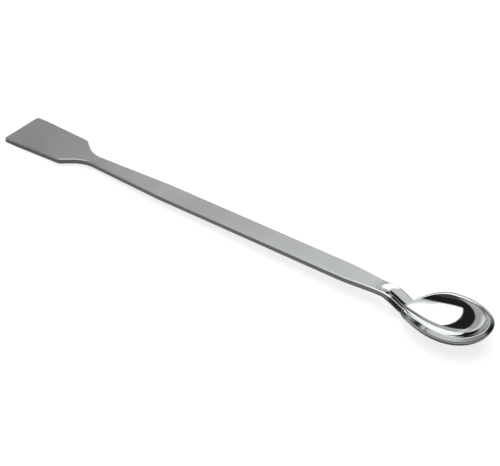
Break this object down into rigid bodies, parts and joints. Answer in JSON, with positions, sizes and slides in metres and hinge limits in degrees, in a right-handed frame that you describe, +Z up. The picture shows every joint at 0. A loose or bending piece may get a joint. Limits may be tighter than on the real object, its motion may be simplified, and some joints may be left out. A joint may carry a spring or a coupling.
{
  "type": "laboratory spatula",
  "caption": "Double-ended laboratory spatula of polished stainless steel, with a flat blade at one end for scraping and a pressed spoon at the other for scooping powders.",
  "frame": {"origin": "on the surface the spatula lies on, below the middle of its overall length and width", "axes": "+X along the length, from the blade towards the spoon; +Z up, with the spoon's hollow facing up"},
  "size_m": [0.2012, 0.0224, 0.0087],
  "materials": {
    "polished_steel": "mirror-polished stainless steel in the spoon, satin-polished on the blade and handle, with smooth rounded edges"
  },
  "bodies": {
    "root": {"spatula": "polished_steel"}
  },
  "joints": []
}
